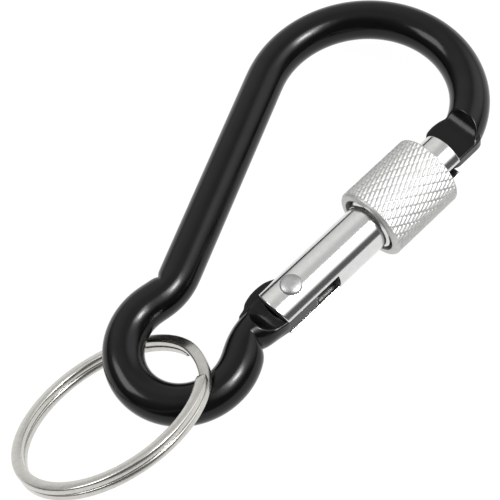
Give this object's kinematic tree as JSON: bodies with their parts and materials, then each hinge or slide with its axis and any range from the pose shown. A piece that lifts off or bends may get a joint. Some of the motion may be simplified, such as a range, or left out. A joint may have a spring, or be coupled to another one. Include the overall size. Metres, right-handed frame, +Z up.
{
  "type": "carabiner keyring",
  "caption": "Pear-shaped aluminium carabiner with a small lower eye, a sprung gate locked by a knurled screw sleeve, and a split ring through the eye.",
  "frame": {"origin": "middle of the bounding box at the lowest point, with the carabiner lying on its side", "axes": "+Z up, along the hinge rivet; +Y along the gate from its hinge to its nose, towards the big hook; +X out of the carabiner through the gate"},
  "size_m": [0.042, 0.0938, 0.018],
  "materials": {
    "black_anodised": "glossy black anodised",
    "bright_aluminium": "polished, clear anodised",
    "rivet_steel": "satin",
    "spring_steel": "drawn wire",
    "plunger_steel": "turned, dark",
    "knurled_aluminium": "knurled, clear anodised",
    "nickel_steel": "nickel plated, polished"
  },
  "bodies": {
    "frame": {"carabiner_body": "black_anodised"},
    "gate": {"gate_tube": "bright_aluminium", "hinge_rivet": "rivet_steel", "gate_spring": "spring_steel"},
    "plunger": {"spring_plunger": "plunger_steel"},
    "sleeve": {"lock_sleeve": "knurled_aluminium"},
    "ring": {"split_ring": "nickel_steel"}
  },
  "joints": [
    {"name": "gate_hinge", "type": "hinge", "parent": "frame", "child": "gate", "pos_m": [0.01319, -0.00189, 0.00742], "axis": [0, 0, 1], "range_deg": [0, 30], "stiffness_Nm_per_rad": 0.03, "springref_deg": -28.65, "deforming": ["gate_spring"]},
    {"name": "plunger_slide", "type": "slide", "parent": "gate", "child": "plunger", "axis": [0, 1, 0], "range_m": [0, 0.0006]},
    {"name": "sleeve_travel", "type": "slide", "parent": "gate", "child": "sleeve", "axis": [0, 1, 0], "range_m": [0, 0.0032]},
    {"name": "ring_swing", "type": "hinge", "parent": "frame", "child": "ring", "pos_m": [0.00326, -0.02312, 0.00742], "axis": [0.7776, -0.6287, 0], "range_deg": [0, 130]}
  ],
  "couplings": [
    {"joint": "plunger_slide", "follows": "gate_hinge", "m_per_rad": 0.0008}
  ]
}
